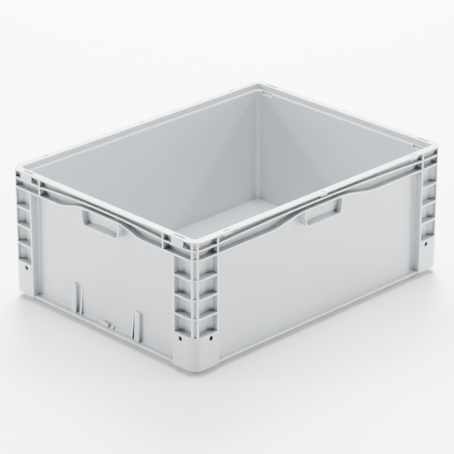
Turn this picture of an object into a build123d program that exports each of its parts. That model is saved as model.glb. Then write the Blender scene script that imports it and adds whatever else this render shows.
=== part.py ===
from build123d import *
import os

# Rigid stacking container of the 800 x 600 mm module, moulded in polypropylene.
# Frame: origin at the middle of the underside, X along the long sides,
# Y along the short sides, Z up. Everything is in millimetres. An inset is a
# distance inwards from the outer faces of the footprint.

# ---- driving dimensions ---------------------------------------------------
LENGTH = 800.0
WIDTH = 600.0
HEIGHT = 320.0
CORNER_RADIUS = 26.0
SKIRT_BOTTOM = 15.6        # underside of the columns and of the base flange
LIP_THICKNESS = 2.8
RIB = 2.6
SKIN = 3.0
EDGE_ROUND = 1.0

# Stacking recess round the mouth: the foot of the box above sits in it
RIM_WIDTH = 16.0
LEDGE_Z = 307.0
LEDGE_CHAMFER = 2.0

# Load space, drawn in towards the floor by the moulding draft
CAVITY_TOP_INSET = 25.2
CAVITY_FLOOR_INSET = 28.2
CAVITY_RADIUS = 11.0
CAVITY_FLOOR_ROUND = 3.0
FLOOR_TOP = 16.0
FLOOR_BOTTOM = 13.2

# Corner columns
COLUMN_X = 329.0           # edge of a column on a long side
COLUMN_Y = 232.0           # edge of a column on a short side
COLUMN_DEPTH = 21.0
COLUMN_RIB_Z = (138.5, 183.5, 229.5)
FOOT_TOP = 94.0
FOOT_HOLLOW_INSET = 24.0
TWIN_RIB_INSET = 13.0      # the two ribs beside each corner's diagonal
WEB_HALF = 2.5             # half the diagonal web behind them, along a face
ROOT_LENGTH = 11.0         # bevelled root between edge rib and back wall
ROOT_DEPTH = 6.0
DRAIN_DIAMETER = 13.0
DRAIN_Z = 83.4
DRAIN_X = 351.5
DRAIN_Y = 253.5

# Rim: an arched upper rib, and a lower rib that climbs to the grips
RIB_1_END_Z = 299.3
RIB_1_MID_Z = 307.2
RIB_1_ARC_LONG = 329.0     # half length of the arch
RIB_1_ARC_SHORT = 195.0
RIB_2_Z = 276.9
RIB_2_FOOT_LONG = 178.0    # where the climb to the grip starts
RIB_2_FOOT_SHORT = 142.0
RIB_2_HEAD = 52.0          # where it ends
POCKET_1_DEPTH = 12.0
POCKET_2_DEPTH = 17.5
POCKET_STEP_Z = 298.0
SHORT_RIM_RIB_Y = 200.7

# Plain wall panels
PANEL_DEPTH = 22.4
PANEL_DRAFT = 0.6
PANEL_ROUND = 5.0

# Base flange between the columns
FLANGE_TOP = 19.0
FLANGE_INSET = 3.0

# Shell grips, one in each side
GRIP_TOP = 295.0
GRIP_BOTTOM = 251.5
GRIP_TOP_WIDTH = 128.0
GRIP_BOTTOM_WIDTH = 113.0
GRIP_ROUND = 12.0
GRIP_SKIN = 2.5
GRIP_DEPTH = 16.0
GRIP_SILL_END = 253.0
GRIP_SILL_MID = 261.0

# Places for lid clips in the rim
LID_SLOT_LENGTH = 34.0
LID_SLOT_WIDTH = 7.0
LID_SLOT_INSET = 8.4
LID_PLATE_Y = (228.5, 262.5)
LEDGE_DIP_Z = 299.0
LEDGE_DIP_INSET = 19.5
NOTCHES = ((-301.0, 19.0), (0.0, 15.0), (301.0, 19.0))    # place, length
NOTCH_WIDTH = 4.5
NOTCH_INSET = 7.2
NOTCH_BOTTOM = 314.5
NOTCH_BOSS_BOTTOM = 312.0
NOTCH_BOSS_INSET = 2.0
NOTCH_BOSS_SIDE = 2.0      # how far a boss runs past its notch at each end
GATE_MARK_DIAMETER = 5.0
GATE_MARK_DEPTH = 0.8
GATE_MARK_INSET = 5.0

# Card holder low on each short side; distances run along the wall from its middle,
# insets are those of a free edge at the foot and at the top
CARD_POST_ALONG = (98.0, 110.0)
CARD_POST_TOP = 89.0
CARD_POST_INSETS = (9.5, 12.5)
CARD_FIN_ALONG = (83.6, 86.0)
CARD_FIN_TOP = 84.0
CARD_FIN_INSETS = (12.0, 20.0)
CARD_LIP_ALONG = (-14.0, 8.0)
CARD_LIP_INSETS = (11.0, 14.2)
CARD_LIP_TOP = 28.0
CARD_WEDGE_ALONG = (15.0, 22.0)
CARD_WEDGE_TOP = 28.5
CARD_WEDGE_INSETS = (10.0, 21.0)

# Welded base plate, whose rim is the stacking foot
FOOT_INSET = 21.0
FOOT_RADIUS = 6.0
FOOT_WALL = 2.6
FOOT_BAND = 22.0
BASE_SHEET = 2.2
BASE_RECESS = 3.0
BASE_FIELD_RADIUS = 9.0
BASE_RIB = 2.0
BASE_CELLS = (8, 6)
RUNNER_WIDTH = 14.0
RUNNERS_X = (-190.0, 0.0, 190.0)
RUNNERS_Y = (-95.0, 95.0)

HALF_X = LENGTH / 2
HALF_Y = WIDTH / 2
LIP_BOTTOM = HEIGHT - LIP_THICKNESS
OVER = 1.0                 # how far cutters run past a face


# ---- helpers --------------------------------------------------------------
def outline(inset, radius=None):
    """Rounded rectangle of the footprint, drawn in by inset."""
    corner = CORNER_RADIUS - inset if radius is None else radius
    return RectangleRounded(LENGTH - 2 * inset, WIDTH - 2 * inset, corner)


def prism(inset, bottom, top, radius=None):
    return Pos(0, 0, bottom) * extrude(outline(inset, radius), top - bottom)


def tapered(low_inset, low_z, high_inset, high_z, radius):
    """Prism whose walls lean from one inset to another."""
    low = Pos(0, 0, low_z) * outline(low_inset, radius)
    high = Pos(0, 0, high_z) * outline(high_inset, radius)
    return loft([low, high], ruled=True)


def block(x, y, z):
    """Box between pairs of limits."""
    size = (x[1] - x[0], y[1] - y[0], z[1] - z[0])
    middle = ((x[0] + x[1]) / 2, (y[0] + y[1]) / 2, (z[0] + z[1]) / 2)
    return Pos(*middle) * Box(*size)


def column_of(points, bottom, top):
    """Upright prism on a polygon in plan."""
    face = make_face(Polyline(*points, close=True))
    return Pos(0, 0, bottom) * extrude(face, top - bottom, dir=(0, 0, 1))


def four_corners(shapes):
    """Each shape and its mirror images in the two middle planes."""
    right = shapes + [mirror(shape, Plane.YZ) for shape in shapes]
    return right + [mirror(shape, Plane.XZ) for shape in right]


def half_turned(shapes):
    """Each shape and the same one turned half round the vertical axis."""
    return shapes + [Rot(0, 0, 180) * shape for shape in shapes]


def on_long_sides(shapes):
    """Place shapes drawn on XZ, depth along +Y, on both long walls."""
    return half_turned([Pos(0, -HALF_Y, 0) * shape for shape in shapes])


def on_short_sides(shapes):
    turned = [Rot(0, 0, -90) * (Pos(0, -HALF_X, 0) * shape) for shape in shapes]
    return half_turned(turned)


def sunk(edges, depth):
    """Cutter with a closed outline on the wall, from outside it to a depth."""
    face = Pos(0, -OVER, 0) * (Plane.XZ * make_face(edges))
    return extrude(face, depth + OVER, dir=(0, 1, 0))


def rib_1_line(half, arc_half, shift):
    """Line of the arched upper rib, moved up by shift."""
    end = RIB_1_END_Z + shift
    arc = ThreePointArc((-arc_half, end), (0, RIB_1_MID_Z + shift), (arc_half, end))
    if half <= arc_half:
        return [arc]
    return [Line((-half, end), arc @ 0), arc, Line(arc @ 1, (half, end))]


def rib_2_line(half, foot, shift):
    """Line of the lower rib, which climbs to the top of the grip."""
    low = RIB_2_Z + shift
    high = GRIP_TOP - RIB / 2 + shift
    level = ((1, 0), (1, 0))
    climb = Spline((-foot, low), (-RIB_2_HEAD, high), tangents=level)
    fall = Spline((RIB_2_HEAD, high), (foot, low), tangents=level)
    start = Line((-half, low), climb @ 0)
    return [start, climb, Line(climb @ 1, fall @ 0), fall, Line(fall @ 1, (half, low))]


def level_line(half, z):
    return [Line((-half, z), (half, z))]


def between(lower, upper, depth):
    """Cutter between two lines drawn on the wall."""
    ends = [Line(lower[0] @ 0, upper[0] @ 0), Line(lower[-1] @ 1, upper[-1] @ 1)]
    return sunk(lower + upper + ends, depth)


# ---- cutters of the box body ------------------------------------------------
def load_space():
    """Cavity, its chamfered ledge and the stacking recess above it."""
    cavity = tapered(CAVITY_FLOOR_INSET, FLOOR_TOP, CAVITY_TOP_INSET, LEDGE_Z, CAVITY_RADIUS)
    cavity = fillet(cavity.faces().sort_by(Axis.Z)[0].edges(), CAVITY_FLOOR_ROUND)
    low_inset = CAVITY_TOP_INSET + LEDGE_CHAMFER
    low_z = LEDGE_Z - 2 * LEDGE_CHAMFER
    high_inset = CAVITY_TOP_INSET - LEDGE_CHAMFER
    ledge = tapered(low_inset, low_z, high_inset, LEDGE_Z, CAVITY_RADIUS)
    return [cavity, ledge, prism(RIM_WIDTH, LEDGE_Z, HEIGHT + OVER)]


def rim_pockets(half, arc_half, foot):
    """Pockets above and below the arched rib along one wall."""
    over_rib = rib_1_line(half, arc_half, RIB / 2)
    under_rib = rib_1_line(half, arc_half, -RIB / 2)
    over_low_rib = rib_2_line(half, foot, RIB / 2)
    return [
        between(over_rib, level_line(half, LIP_BOTTOM), POCKET_1_DEPTH),
        between(over_low_rib, under_rib, POCKET_1_DEPTH),
        between(over_low_rib, level_line(half, POCKET_STEP_Z), POCKET_2_DEPTH),
    ]


def wall_panel(half, foot):
    """Recess of a plain panel, with a drafted back and soft inner edges."""
    bottom = level_line(half, FLANGE_TOP)
    recess = between(bottom, rib_2_line(half, foot, -RIB / 2), 2 * PANEL_DEPTH)
    wall = Box(LENGTH, WIDTH, WIDTH, align=(Align.CENTER, Align.MIN, Align.CENTER))
    recess -= Pos(0, PANEL_DEPTH, RIB_2_Z) * (Rot(-PANEL_DRAFT, 0, 0) * wall)
    back = recess.faces().sort_by(Axis.Y)[-1]
    return fillet(back.edges(), PANEL_ROUND)


def corner_cells(depth, start_x, start_y, bottom, top, root_length=0.0, root_depth=0.0):
    """The three cells of one corner at one level: short face, long face, corner."""
    rib_x = HALF_X - TWIN_RIB_INSET
    rib_y = HALF_Y - TWIN_RIB_INSET
    back_x = HALF_X - depth
    back_y = HALF_Y - depth
    out_x = HALF_X + OVER
    out_y = HALF_Y + OVER
    half_rib = RIB / 2
    on_short_face = [
        (out_x, start_y),
        (back_x + root_depth, start_y),
        (back_x, start_y + root_length + half_rib),
        (back_x, back_y - WEB_HALF),
        (rib_x + WEB_HALF - half_rib, rib_y - half_rib),
        (out_x, rib_y - half_rib),
    ]
    on_long_face = [
        (start_x, out_y),
        (start_x, back_y + root_depth),
        (start_x + root_length + half_rib, back_y),
        (back_x - WEB_HALF, back_y),
        (rib_x - half_rib, rib_y + WEB_HALF - half_rib),
        (rib_x - half_rib, out_y),
    ]
    at_corner = [
        (rib_x + half_rib, rib_y + half_rib),
        (out_x, rib_y + half_rib),
        (out_x, out_y),
        (rib_x + half_rib, out_y),
    ]
    return [column_of(points, bottom, top) for points in (on_short_face, on_long_face, at_corner)]


def column_cells():
    """Cells between the ribs of the column, and its share of the rim pockets."""
    start_x = COLUMN_X + RIB
    rim_start_y = SHORT_RIM_RIB_Y + RIB / 2
    floors = [FOOT_TOP] + [z + RIB / 2 for z in COLUMN_RIB_Z]
    roofs = [z - RIB / 2 for z in COLUMN_RIB_Z] + [RIB_2_Z - RIB / 2]
    cells = []
    for bottom, top in zip(floors, roofs):
        cells += corner_cells(
            COLUMN_DEPTH, start_x, COLUMN_Y + RIB, bottom, top, ROOT_LENGTH, ROOT_DEPTH
        )
    low = RIB_2_Z + RIB / 2
    high = RIB_1_END_Z + RIB / 2
    cells += corner_cells(POCKET_2_DEPTH, start_x, rim_start_y, low, POCKET_STEP_Z)
    cells += corner_cells(POCKET_1_DEPTH, start_x, rim_start_y, high, LIP_BOTTOM)
    return cells


def foot_hollow():
    """Space inside the foot of a column, open below, and its two drain holes."""
    ring = outline(SKIN) - outline(FOOT_HOLLOW_INSET, CAVITY_RADIUS)
    inner_x = COLUMN_X + SKIN
    inner_y = COLUMN_Y + SKIN
    corner = Rectangle(HALF_X - inner_x, HALF_Y - inner_y, align=Align.MIN)
    space = ring & (Pos(inner_x, inner_y) * corner)
    hollow = Pos(0, 0, SKIRT_BOTTOM - OVER) * extrude(space, FOOT_TOP - SKIN - SKIRT_BOTTOM + OVER)
    drain = Cylinder(DRAIN_DIAMETER / 2, 4 * SKIN)
    short_face_drain = Pos(HALF_X, DRAIN_Y, DRAIN_Z) * (Rot(0, 90, 0) * drain)
    long_face_drain = Pos(DRAIN_X, HALF_Y, DRAIN_Z) * (Rot(90, 0, 0) * drain)
    return [hollow, short_face_drain, long_face_drain]


def lid_clip_cuts():
    """Slot in the lip and lowered ledge near one corner."""
    middle = sum(LID_PLATE_Y) / 2
    slot_x = HALF_X - LID_SLOT_INSET
    slot = Pos(slot_x, middle, HEIGHT) * Box(LID_SLOT_WIDTH, LID_SLOT_LENGTH, 4 * LIP_THICKNESS)
    dip_x = (HALF_X - CAVITY_TOP_INSET - OVER, HALF_X - LEDGE_DIP_INSET)
    dip = block(dip_x, LID_PLATE_Y, (LEDGE_DIP_Z, LEDGE_Z + OVER))
    return [slot, dip]


def notch_cuts():
    """Blind notches in the rim along one long side."""
    half = NOTCH_WIDTH / 2
    depth = (NOTCH_INSET - half, NOTCH_INSET + half)
    height = (NOTCH_BOTTOM, HEIGHT + OVER)
    return [block((place - size / 2, place + size / 2), depth, height) for place, size in NOTCHES]


# ---- additions to the box body -------------------------------------------------
def on_wall(face, depth):
    """A face drawn on XZ, moved to a depth in the wall."""
    return Pos(0, depth, 0) * (Plane.XZ * face)


def grip_mouth(skin):
    """Rounded outline of the grip, drawn in by skin."""
    top = GRIP_TOP_WIDTH / 2 - skin
    foot = GRIP_BOTTOM_WIDTH / 2 - skin
    low = GRIP_BOTTOM + skin
    high = GRIP_TOP - skin
    face = make_face(Polyline((-foot, low), (foot, low), (top, high), (-top, high), close=True))
    return fillet(face.vertices(), GRIP_ROUND - skin)


def grip_sill():
    """Floor of the grip, level at the mouth and swelling in the middle of its back."""
    half = GRIP_TOP_WIDTH / 2
    low = GRIP_BOTTOM - OVER
    corners = [(-half, GRIP_SILL_END), (-half, low), (half, low), (half, GRIP_SILL_END)]
    front = make_face(Polyline(*corners, close=True))
    crown = ThreePointArc(corners[0], (0, GRIP_SILL_MID), corners[-1])
    back = make_face([Polyline(*corners), crown])
    return loft([on_wall(front, -OVER), on_wall(back, GRIP_DEPTH + OVER)])


def shell_grip():
    """Raised grip with a rounded mouth."""
    inwards = (0, 1, 0)
    housing = extrude(on_wall(grip_mouth(0), 0), PANEL_DEPTH + OVER, dir=inwards)
    pocket = extrude(on_wall(grip_mouth(GRIP_SKIN), -OVER), GRIP_DEPTH + OVER, dir=inwards)
    grip = housing - (pocket - grip_sill())
    rim_edges = grip.faces().sort_by(Axis.Y)[0].edges()
    return fillet(rim_edges, EDGE_ROUND)


def fin(along, bottom, top, insets):
    """Upright fin on a wall; its free edge leans from one inset to the other."""
    root = PANEL_DEPTH + CAVITY_FLOOR_INSET - CAVITY_TOP_INSET
    side = make_face(
        Polyline((insets[0], bottom), (root, bottom), (root, top), (insets[1], top), close=True)
    )
    upright = Pos(along[0], 0, 0) * (Plane.YZ * side)
    return extrude(upright, along[1] - along[0], dir=(1, 0, 0))


def card_holder():
    """Posts, fins, lip and wedge that hold a card on a short wall."""
    low = FLANGE_TOP - OVER
    post = fin(CARD_POST_ALONG, low, CARD_POST_TOP, CARD_POST_INSETS)
    guide = fin(CARD_FIN_ALONG, low, CARD_FIN_TOP, CARD_FIN_INSETS)
    pair = [post, guide]
    lip = block(CARD_LIP_ALONG, CARD_LIP_INSETS, (low, CARD_LIP_TOP))
    wedge = fin(CARD_WEDGE_ALONG, low, CARD_WEDGE_TOP, CARD_WEDGE_INSETS)
    return pair + [mirror(shape, Plane.YZ) for shape in pair] + [lip, wedge]


def lid_plate():
    """Flush plate between the upper rib and the lip, in front of a lid slot."""
    return block((HALF_X - SKIN, HALF_X), LID_PLATE_Y, (RIB_1_END_Z, HEIGHT - EDGE_ROUND))


def notch_bosses():
    """Thicker places under the lip that close the notches below."""
    depth = (NOTCH_BOSS_INSET, POCKET_1_DEPTH + OVER)
    height = (NOTCH_BOSS_BOTTOM, LIP_BOTTOM + OVER)
    bosses = []
    for place, size in NOTCHES:
        half = size / 2 + NOTCH_BOSS_SIDE
        bosses.append(block((place - half, place + half), depth, height))
    return bosses


# ---- the two mouldings ------------------------------------------------------------
def side_cuts(half, rim_half, arc_half, foot):
    """Panel, rim pockets and base flange of one side."""
    panel = wall_panel(half, foot)
    flange = block((-half, half), (-OVER, FLANGE_INSET), (0, FLANGE_TOP + OVER))
    return [panel, flange] + rim_pockets(rim_half, arc_half, foot)


def box_body():
    """Walls, columns, rim, grips and floor, moulded as one."""
    body = prism(0, SKIRT_BOTTOM, HEIGHT)
    body = fillet(body.faces().sort_by(Axis.Z)[-1].edges(), EDGE_ROUND)
    body += prism(FOOT_INSET, FLOOR_BOTTOM, SKIRT_BOTTOM + OVER, FOOT_RADIUS)
    long_cuts = side_cuts(COLUMN_X, COLUMN_X, RIB_1_ARC_LONG, RIB_2_FOOT_LONG)
    rim_half_short = SHORT_RIM_RIB_Y - RIB / 2
    short_cuts = side_cuts(COLUMN_Y, rim_half_short, RIB_1_ARC_SHORT, RIB_2_FOOT_SHORT)
    gate_mark = Pos(0, GATE_MARK_INSET, HEIGHT) * Cylinder(GATE_MARK_DIAMETER / 2, 2 * GATE_MARK_DEPTH)
    body -= load_space()
    body -= on_long_sides(long_cuts)
    body -= on_short_sides(short_cuts + [gate_mark])
    body -= four_corners(column_cells() + foot_hollow())
    body += on_long_sides([shell_grip()] + notch_bosses())
    body += on_short_sides([shell_grip()] + card_holder())
    body += four_corners([lid_plate()])
    body -= on_long_sides(notch_cuts())
    body -= four_corners(lid_clip_cuts())
    return body


def fields_between(half, runners):
    """Spans from -half to half, parted by runners at the given places."""
    starts = [-half] + [place + RUNNER_WIDTH / 2 for place in runners]
    ends = [place - RUNNER_WIDTH / 2 for place in runners] + [half]
    return list(zip(starts, ends))


def underside_fields():
    """Shallow rounded recesses between the foot and the runners."""
    inset = FOOT_INSET + FOOT_BAND
    fields = []
    for left, right in fields_between(HALF_X - inset, RUNNERS_X):
        for near, far in fields_between(HALF_Y - inset, RUNNERS_Y):
            outline_of_field = RectangleRounded(right - left, far - near, BASE_FIELD_RADIUS)
            middle = Pos((left + right) / 2, (near + far) / 2, -OVER)
            fields.append(middle * extrude(outline_of_field, BASE_RECESS + OVER))
    return fields


def evenly(count, span):
    """Places that part a centred span into count equal cells."""
    return [span * (number / count - 0.5) for number in range(1, count)]


def base_plate():
    """Ribbed sheet welded under the floor; its rim is the stacking foot."""
    inner = FOOT_INSET + FOOT_WALL
    half = BASE_RIB / 2
    height = (0, HEIGHT)
    cells = prism(inner, BASE_RECESS + BASE_SHEET, FLOOR_BOTTOM + OVER, FOOT_RADIUS - FOOT_WALL)
    cross_ribs = evenly(BASE_CELLS[0], LENGTH - 2 * inner)
    long_ribs = evenly(BASE_CELLS[1], WIDTH - 2 * inner)
    cells -= [block((x - half, x + half), (-HALF_Y, HALF_Y), height) for x in cross_ribs]
    cells -= [block((-HALF_X, HALF_X), (y - half, y + half), height) for y in long_ribs]
    plate = prism(FOOT_INSET, 0, FLOOR_BOTTOM, FOOT_RADIUS)
    plate -= underside_fields()
    plate -= cells
    return plate


def main():
    os.makedirs("parts", exist_ok=True)
    pieces = {"box_body": box_body(), "base_plate": base_plate()}
    for name, shape in pieces.items():
        export_step(shape, "parts/" + name + ".step")
        print(name, len(shape.solids()), "solids,", round(shape.volume / 1000), "cm3")


main()
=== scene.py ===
import math

import bmesh
import bpy
from mathutils import Matrix, Vector


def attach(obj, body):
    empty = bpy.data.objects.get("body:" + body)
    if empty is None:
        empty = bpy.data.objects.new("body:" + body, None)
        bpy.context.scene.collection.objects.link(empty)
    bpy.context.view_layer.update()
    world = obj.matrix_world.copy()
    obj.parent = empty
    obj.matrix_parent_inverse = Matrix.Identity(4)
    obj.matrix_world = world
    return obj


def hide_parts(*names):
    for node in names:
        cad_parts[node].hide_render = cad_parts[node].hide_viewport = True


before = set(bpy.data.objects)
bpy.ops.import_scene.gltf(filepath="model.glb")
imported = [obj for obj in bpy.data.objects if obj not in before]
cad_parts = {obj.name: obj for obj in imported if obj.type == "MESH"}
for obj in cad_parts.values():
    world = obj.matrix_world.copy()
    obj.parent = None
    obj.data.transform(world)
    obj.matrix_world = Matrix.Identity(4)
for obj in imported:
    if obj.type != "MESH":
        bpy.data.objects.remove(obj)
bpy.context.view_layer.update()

# Stacking container in silver-grey polypropylene. Metres, in the object's own frame.

# ---- camera -------------------------------------------------------------------
CAMERA_PLACE = (-3.678, -3.692, 2.458)
CAMERA_YAW = 45.157
CAMERA_DOWN = 23.966
CAMERA_ROLL = 0.147
CAMERA_REACH = 60.0
SENSOR = 36.0
LENS = 195.37

# ---- studio ---------------------------------------------------------------------
FLOOR_SIZE = 40.0
FLOOR_TONE = (0.97, 0.97, 0.97)
FLOOR_ROUGHNESS = 0.9
AIM = (0.0, 0.0, 0.2)
# name, place, size, watts
LIGHTS = (
    ("overhead_softbox", (0.0, 0.0, 3.2), 2.0, 300.0),
    ("left_softbox", (-2.8, 2.6, 2.05), 0.4, 95.0),
    ("right_softbox", (2.6, -2.8, 2.5), 0.4, 90.0),
    ("rear_softbox", (2.6, 2.6, 3.6), 2.4, 1700.0),
    ("left_low_softbox", (-4.5, 2.8, 0.7), 1.6, 240.0),
    ("right_low_softbox", (2.8, -4.5, 0.7), 1.6, 255.0),
)
DOME_TONE = (1.0, 1.0, 1.0)
DOME_STRENGTH = 0.4

# ---- welding the shells ---------------------------------------------------------
WELD = 0.000002
FLAT_ANGLE = math.radians(0.3)
CREASE_ANGLE = math.radians(32.0)
SHADING_WEIGHT = 80

# ---- moulded polypropylene ---------------------------------------------------------
PLASTIC_IOR = 1.49
GRAIN_DEPTH = 0.0001
EDGE_SAMPLES = 6
HOLLOW_SAMPLES = 8         # rays for worn edges and dust
SCUFF_ROUGHNESS = 0.14     # rays for the painted edge highlight and the painted shade

CLOUD_SHARE = 0.65         # of the tone drift; flow streaks make up the rest
FLOW_STRETCH = (5.0, 5.0, 0.8)
DRIFT_RANGE = (0.34, 0.66)
SHEEN_SCALE = 38.0
SHEEN_RANGE = (0.3, 0.7)
# painted highlight on thin edges and ribs, broken into patches
THIN_RANGE = (0.42, 0.93)
HIGHLIGHT_PATCH_SCALE = 55.0
HIGHLIGHT_PATCH_RANGE = (0.25, 0.6)
HIGHLIGHT_PATCH_LEAST = 0.55
# painted shade in corners, pockets and holes, broken into patches
CLOSED_RANGE = (0.1, 0.7)
SHADE_PATCH_SCALE = 26.0
SHADE_PATCH_RANGE = (0.2, 0.6)
SHADE_PATCH_LEAST = 0.72
SCRATCH_TURN = (0.3, 0.2, 0.5)
SCRATCH_STRETCH = (1.0, 1.4, 22.0)
SMUDGE_SCALE = 9.0
SMUDGE_RANGE = (0.5, 0.68)

# places of a Mix node's colour sockets
MIX_FIRST = 6
MIX_SECOND = 7
MIX_RESULT = 2


def place_camera():
    yaw = math.radians(CAMERA_YAW)
    down = math.radians(CAMERA_DOWN)
    roll = math.radians(CAMERA_ROLL)
    level_part = math.cos(down)
    ahead = Vector((math.cos(yaw) * level_part, math.sin(yaw) * level_part, -math.sin(down)))
    level = Vector((math.sin(yaw), -math.cos(yaw), 0.0))
    above = level.cross(ahead)
    right = math.cos(roll) * level + math.sin(roll) * above
    up = math.cos(roll) * above - math.sin(roll) * level
    data = bpy.data.cameras.new("camera")
    data.sensor_width = SENSOR
    data.lens = LENS
    data.clip_end = CAMERA_REACH
    camera = bpy.data.objects.new("camera", data)
    bpy.context.collection.objects.link(camera)
    turn = Matrix((right, up, -ahead)).transposed().to_4x4()
    camera.matrix_world = Matrix.Translation(CAMERA_PLACE) @ turn
    bpy.context.scene.camera = camera


def hang_light(name, place, size, watts):
    """Square softbox turned towards the container."""
    data = bpy.data.lights.new(name, "AREA")
    data.shape = "SQUARE"
    data.size = size
    data.energy = watts
    light = bpy.data.objects.new(name, data)
    bpy.context.collection.objects.link(light)
    light.location = place
    light.rotation_euler = (Vector(AIM) - Vector(place)).to_track_quat("-Z", "Y").to_euler()


def lay_floor():
    sheet = bmesh.new()
    bmesh.ops.create_grid(sheet, x_segments=1, y_segments=1, size=FLOOR_SIZE / 2)
    mesh = bpy.data.meshes.new("floor")
    sheet.to_mesh(mesh)
    sheet.free()
    floor = bpy.data.objects.new("floor", mesh)
    bpy.context.collection.objects.link(floor)
    paper = bpy.data.materials.new("floor_paper")
    paper.use_nodes = True
    shader = paper.node_tree.nodes["Principled BSDF"]
    shader.inputs["Base Color"].default_value = (*FLOOR_TONE, 1.0)
    shader.inputs["Roughness"].default_value = FLOOR_ROUGHNESS
    mesh.materials.append(paper)


def build_studio():
    lay_floor()
    for light in LIGHTS:
        hang_light(*light)
    world = bpy.data.worlds.new("studio")
    bpy.context.scene.world = world
    world.use_nodes = True
    dome = world.node_tree.nodes["Background"]
    dome.inputs["Color"].default_value = (*DOME_TONE, 1.0)
    dome.inputs["Strength"].default_value = DOME_STRENGTH


# ---- node helpers -------------------------------------------------------------------
def new_group(name, inputs, outputs):
    """A shader node group with its own sockets: (name, socket type, default)."""
    tree = bpy.data.node_groups.new(name, "ShaderNodeTree")
    for label, kind, value in inputs:
        socket = tree.interface.new_socket(label, in_out="INPUT", socket_type=kind)
        socket.default_value = value
    for label, kind in outputs:
        tree.interface.new_socket(label, in_out="OUTPUT", socket_type=kind)
    entry = tree.nodes.new("NodeGroupInput")
    leave = tree.nodes.new("NodeGroupOutput")
    return tree, entry.outputs, leave.inputs


def feed(tree, socket, value):
    """Set a socket to a number, or link it to another socket."""
    if isinstance(value, (int, float)):
        socket.default_value = value
    else:
        tree.links.new(value, socket)


def noise(tree, vector, scale, detail, roughness=0.5):
    node = tree.nodes.new("ShaderNodeTexNoise")
    node.inputs["Detail"].default_value = detail
    node.inputs["Roughness"].default_value = roughness
    tree.links.new(vector, node.inputs["Vector"])
    feed(tree, node.inputs["Scale"], scale)
    return node.outputs["Fac"]


def ramp(tree, value, limits, result=(0.0, 1.0)):
    """Smooth step over limits, from one result to the other."""
    node = tree.nodes.new("ShaderNodeMapRange")
    node.interpolation_type = "SMOOTHSTEP"
    labels = ("From Min", "From Max", "To Min", "To Max")
    for label, number in zip(labels, (*limits, *result)):
        node.inputs[label].default_value = number
    tree.links.new(value, node.inputs["Value"])
    return node.outputs["Result"]


def math_node(tree, operation, first, second):
    node = tree.nodes.new("ShaderNodeMath")
    node.operation = operation
    node.use_clamp = True
    feed(tree, node.inputs[0], first)
    feed(tree, node.inputs[1], second)
    return node.outputs[0]


def mixed(tree, factor, first, second):
    """Colour mix; first and second are colours or sockets."""
    node = tree.nodes.new("ShaderNodeMix")
    node.data_type = "RGBA"
    tree.links.new(factor, node.inputs["Factor"])
    for place, colour in ((MIX_FIRST, first), (MIX_SECOND, second)):
        if isinstance(colour, tuple):
            node.inputs[place].default_value = (*colour, 1.0)
        else:
            tree.links.new(colour, node.inputs[place])
    return node.outputs[MIX_RESULT]


def object_place(tree):
    return tree.nodes.new("ShaderNodeTexCoord").outputs["Object"]


def stretched(tree, place, scale, turn=(0.0, 0.0, 0.0)):
    node = tree.nodes.new("ShaderNodeMapping")
    node.inputs["Rotation"].default_value = turn
    node.inputs["Scale"].default_value = scale
    tree.links.new(place, node.inputs["Vector"])
    return node.outputs["Vector"]


def openness(tree, reach, inside):
    """How open the space is within reach of the surface, outside it or in the plastic."""
    node = tree.nodes.new("ShaderNodeAmbientOcclusion")
    node.inside = inside
    node.samples = HOLLOW_SAMPLES
    tree.links.new(reach, node.inputs["Distance"])
    return node.outputs["AO"]


# ---- shared effects ---------------------------------------------------------------
def build_moulding_tone():
    """Slow drift between two tones of the same plastic, with faint flow streaks."""
    tree, given, made = new_group(
        "moulding_tone",
        (("Scale", "NodeSocketFloat", 6.0),),
        (("Drift", "NodeSocketFloat"),),
    )
    place = object_place(tree)
    cloud = noise(tree, place, given["Scale"], detail=3.0)
    flow = stretched(tree, place, FLOW_STRETCH)
    streak = noise(tree, flow, given["Scale"], detail=5.0, roughness=0.6)
    cloud_part = math_node(tree, "MULTIPLY", cloud, CLOUD_SHARE)
    streak_part = math_node(tree, "MULTIPLY", streak, 1.0 - CLOUD_SHARE)
    both = math_node(tree, "ADD", cloud_part, streak_part)
    tree.links.new(ramp(tree, both, DRIFT_RANGE), made["Drift"])
    return tree


def build_spark_grain():
    """Fine eroded texture of the mould: height and a matching sheen break-up."""
    tree, given, made = new_group(
        "spark_grain",
        (("Scale", "NodeSocketFloat", 900.0),),
        (("Height", "NodeSocketFloat"), ("Sheen", "NodeSocketFloat")),
    )
    place = object_place(tree)
    grain = noise(tree, place, given["Scale"], detail=2.0, roughness=0.6)
    broad = noise(tree, place, SHEEN_SCALE, detail=3.0)
    tree.links.new(grain, made["Height"])
    tree.links.new(ramp(tree, broad, SHEEN_RANGE), made["Sheen"])
    return tree


def build_painted_edge_highlight():
    """Painted highlight: thin free edges and ribs made lighter in colour, broken into patches.
    """
    tree, given, made = new_group(
        "painted_edge_highlight",
        (("Reach", "NodeSocketFloat", 0.0016),),
        (("Mask", "NodeSocketFloat"),),
    )
    thin = ramp(tree, openness(tree, given["Reach"], inside=True), THIN_RANGE, (1.0, 0.0))
    spots = noise(tree, object_place(tree), HIGHLIGHT_PATCH_SCALE, detail=4.0)
    patches = ramp(tree, spots, HIGHLIGHT_PATCH_RANGE, (HIGHLIGHT_PATCH_LEAST, 1.0))
    tree.links.new(math_node(tree, "MULTIPLY", thin, patches), made["Mask"])
    return tree


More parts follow.
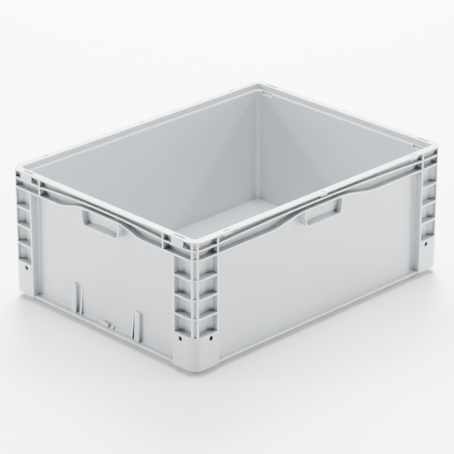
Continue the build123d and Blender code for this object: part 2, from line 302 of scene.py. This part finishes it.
def build_painted_pocket_shade():
    """Painted shade: corners, pockets and holes darkened towards near-black where little light
    reaches, broken into patches.
    """
    tree, given, made = new_group(
        "painted_pocket_shade",
        (("Reach", "NodeSocketFloat", 0.022),),
        (("Mask", "NodeSocketFloat"),),
    )
    closed = ramp(tree, openness(tree, given["Reach"], inside=False), CLOSED_RANGE, (1.0, 0.0))
    spots = noise(tree, object_place(tree), SHADE_PATCH_SCALE, detail=5.0, roughness=0.6)
    patches = ramp(tree, spots, SHADE_PATCH_RANGE, (SHADE_PATCH_LEAST, 1.0))
    tree.links.new(math_node(tree, "MULTIPLY", closed, patches), made["Mask"])
    return tree


def build_handling_scuffs():
    """Short faint scratches and a few rubbed smudges from handling."""
    tree, given, made = new_group(
        "handling_scuffs",
        (("Scale", "NodeSocketFloat", 14.0), ("Cover", "NodeSocketFloat", 0.62)),
        (("Mask", "NodeSocketFloat"),),
    )
    place = object_place(tree)
    along = stretched(tree, place, SCRATCH_STRETCH, SCRATCH_TURN)
    lines = noise(tree, along, given["Scale"], detail=4.0, roughness=0.65)
    scratches = math_node(tree, "GREATER_THAN", lines, given["Cover"])
    smudges = ramp(tree, noise(tree, place, SMUDGE_SCALE, detail=3.0), SMUDGE_RANGE)
    tree.links.new(math_node(tree, "MULTIPLY", scratches, smudges), made["Mask"])
    return tree


EFFECTS = {
    "tone": build_moulding_tone(),
    "grain": build_spark_grain(),
    "edges": build_painted_edge_highlight(),
    "painted_shade": build_painted_pocket_shade(),
    "scuffs": build_handling_scuffs(),
}


def use_effect(tree, name, **values):
    node = tree.nodes.new("ShaderNodeGroup")
    node.node_tree = EFFECTS[name]
    for label, value in values.items():
        node.inputs[label].default_value = value
    return node.outputs


# ---- material ---------------------------------------------------------------------------
def polypropylene(name, tones, look):
    """Moulded polypropylene; look holds the strengths of the shared effects."""
    material = bpy.data.materials.new(name)
    material.use_nodes = True
    tree = material.node_tree
    shader = tree.nodes["Principled BSDF"]
    drift = use_effect(tree, "tone", Scale=look["tone_scale"])["Drift"]
    grain = use_effect(tree, "grain", Scale=look["grain_scale"])
    edge_highlight = use_effect(tree, "edges", Reach=look["edge_reach"])["Mask"]
    pocket_shade = use_effect(tree, "painted_shade", Reach=look["painted_shade_reach"])["Mask"]
    scuffs = use_effect(tree, "scuffs", Scale=look["scuff_scale"], Cover=look["scuff_cover"])
    scuffed = scuffs["Mask"]
    colour = mixed(tree, drift, tones["pale"], tones["deep"])
    # Scuffs lighten as real wear; the edge mix is a painted highlight on thin edges and the
    # last mix is painted shade in corners, pockets and holes.
    for mask, strength, tone in (
        (scuffed, look["scuff"], tones["edge"]),
        (edge_highlight, look["edge"], tones["edge"]),
        (pocket_shade, look["painted_shade"], tones["painted_shade"]),
    ):
        colour = mixed(tree, math_node(tree, "MULTIPLY", mask, strength), colour, tone)
    tree.links.new(colour, shader.inputs["Base Color"])
    sheen = ramp(tree, grain["Sheen"], (0.0, 1.0), look["rough"])
    matt = math_node(tree, "MULTIPLY", scuffed, SCUFF_ROUGHNESS)
    tree.links.new(math_node(tree, "ADD", sheen, matt), shader.inputs["Roughness"])
    shader.inputs["IOR"].default_value = PLASTIC_IOR
    soften = tree.nodes.new("ShaderNodeBevel")
    soften.samples = EDGE_SAMPLES
    soften.inputs["Radius"].default_value = look["edge_radius"]
    bump = tree.nodes.new("ShaderNodeBump")
    bump.inputs["Strength"].default_value = look["grain"]
    bump.inputs["Distance"].default_value = GRAIN_DEPTH
    tree.links.new(grain["Height"], bump.inputs["Height"])
    tree.links.new(soften.outputs["Normal"], bump.inputs["Normal"])
    tree.links.new(bump.outputs["Normal"], shader.inputs["Normal"])
    return material


# In both tone sets: edge is a light tone for scuffs and for the painted highlight on thin
# edges; the near-black last tone is painted shade for corners, pockets and holes.
BODY_TONES = {
    "pale": (0.412, 0.439, 0.46),
    "deep": (0.388, 0.415, 0.438),
    "edge": (0.86, 0.87, 0.88),
    "painted_shade": (0.05, 0.052, 0.055),
}
BASE_TONES = {
    "pale": (0.41, 0.422, 0.435),
    "deep": (0.38, 0.392, 0.406),
    "edge": (0.72, 0.73, 0.74),
    "painted_shade": (0.05, 0.052, 0.055),
}
# scales are per metre; reaches and radii are in metres
BODY_LOOK = {
    "tone_scale": 5.0,
    "grain_scale": 1100.0,
    "edge_reach": 0.0027,
    "painted_shade_reach": 0.045,
    "scuff_scale": 14.0,
    "scuff_cover": 0.62,
    # strengths of the painted shade, the scuffs and the painted edge highlight
    "painted_shade": 0.76,
    "scuff": 0.12,
    "edge": 1.0,
    "rough": (0.36, 0.46),
    "grain": 0.22,
    "edge_radius": 0.0007,
}
BASE_LOOK = dict(BODY_LOOK, edge_reach=0.0014, scuff=0.35, scuff_cover=0.58, rough=(0.42, 0.55))


# ---- pieces ---------------------------------------------------------------------------
def welded_shell(node, name):
    """The node's shape welded into one skin, flat where flat and smooth round its curves."""
    skin = bmesh.new()
    skin.from_mesh(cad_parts[node].data)
    bmesh.ops.remove_doubles(skin, verts=skin.verts, dist=WELD)
    bmesh.ops.dissolve_limit(
        skin,
        angle_limit=FLAT_ANGLE,
        use_dissolve_boundaries=False,
        verts=skin.verts,
        edges=skin.edges,
        delimit={"NORMAL"},
    )
    for face in skin.faces:
        face.smooth = True
    for edge in skin.edges:
        edge.smooth = edge.calc_face_angle(0.0) < CREASE_ANGLE
    mesh = bpy.data.meshes.new(name)
    skin.to_mesh(mesh)
    skin.free()
    piece = bpy.data.objects.new(name, mesh)
    bpy.context.collection.objects.link(piece)
    weighted = piece.modifiers.new("even_shading", "WEIGHTED_NORMAL")
    weighted.keep_sharp = True
    weighted.weight = SHADING_WEIGHT
    return piece


def make_piece(node, name, material):
    piece = welded_shell(node, name)
    piece.data.materials.append(material)
    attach(piece, "root")
    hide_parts(node)


def build_container():
    body_plastic = polypropylene("silver_grey_polypropylene", BODY_TONES, BODY_LOOK)
    make_piece("box_body", "box_shell", body_plastic)
    base_plastic = polypropylene("scuffed_grey_polypropylene", BASE_TONES, BASE_LOOK)
    make_piece("base_plate", "base_shell", base_plastic)


build_studio()
place_camera()
build_container()
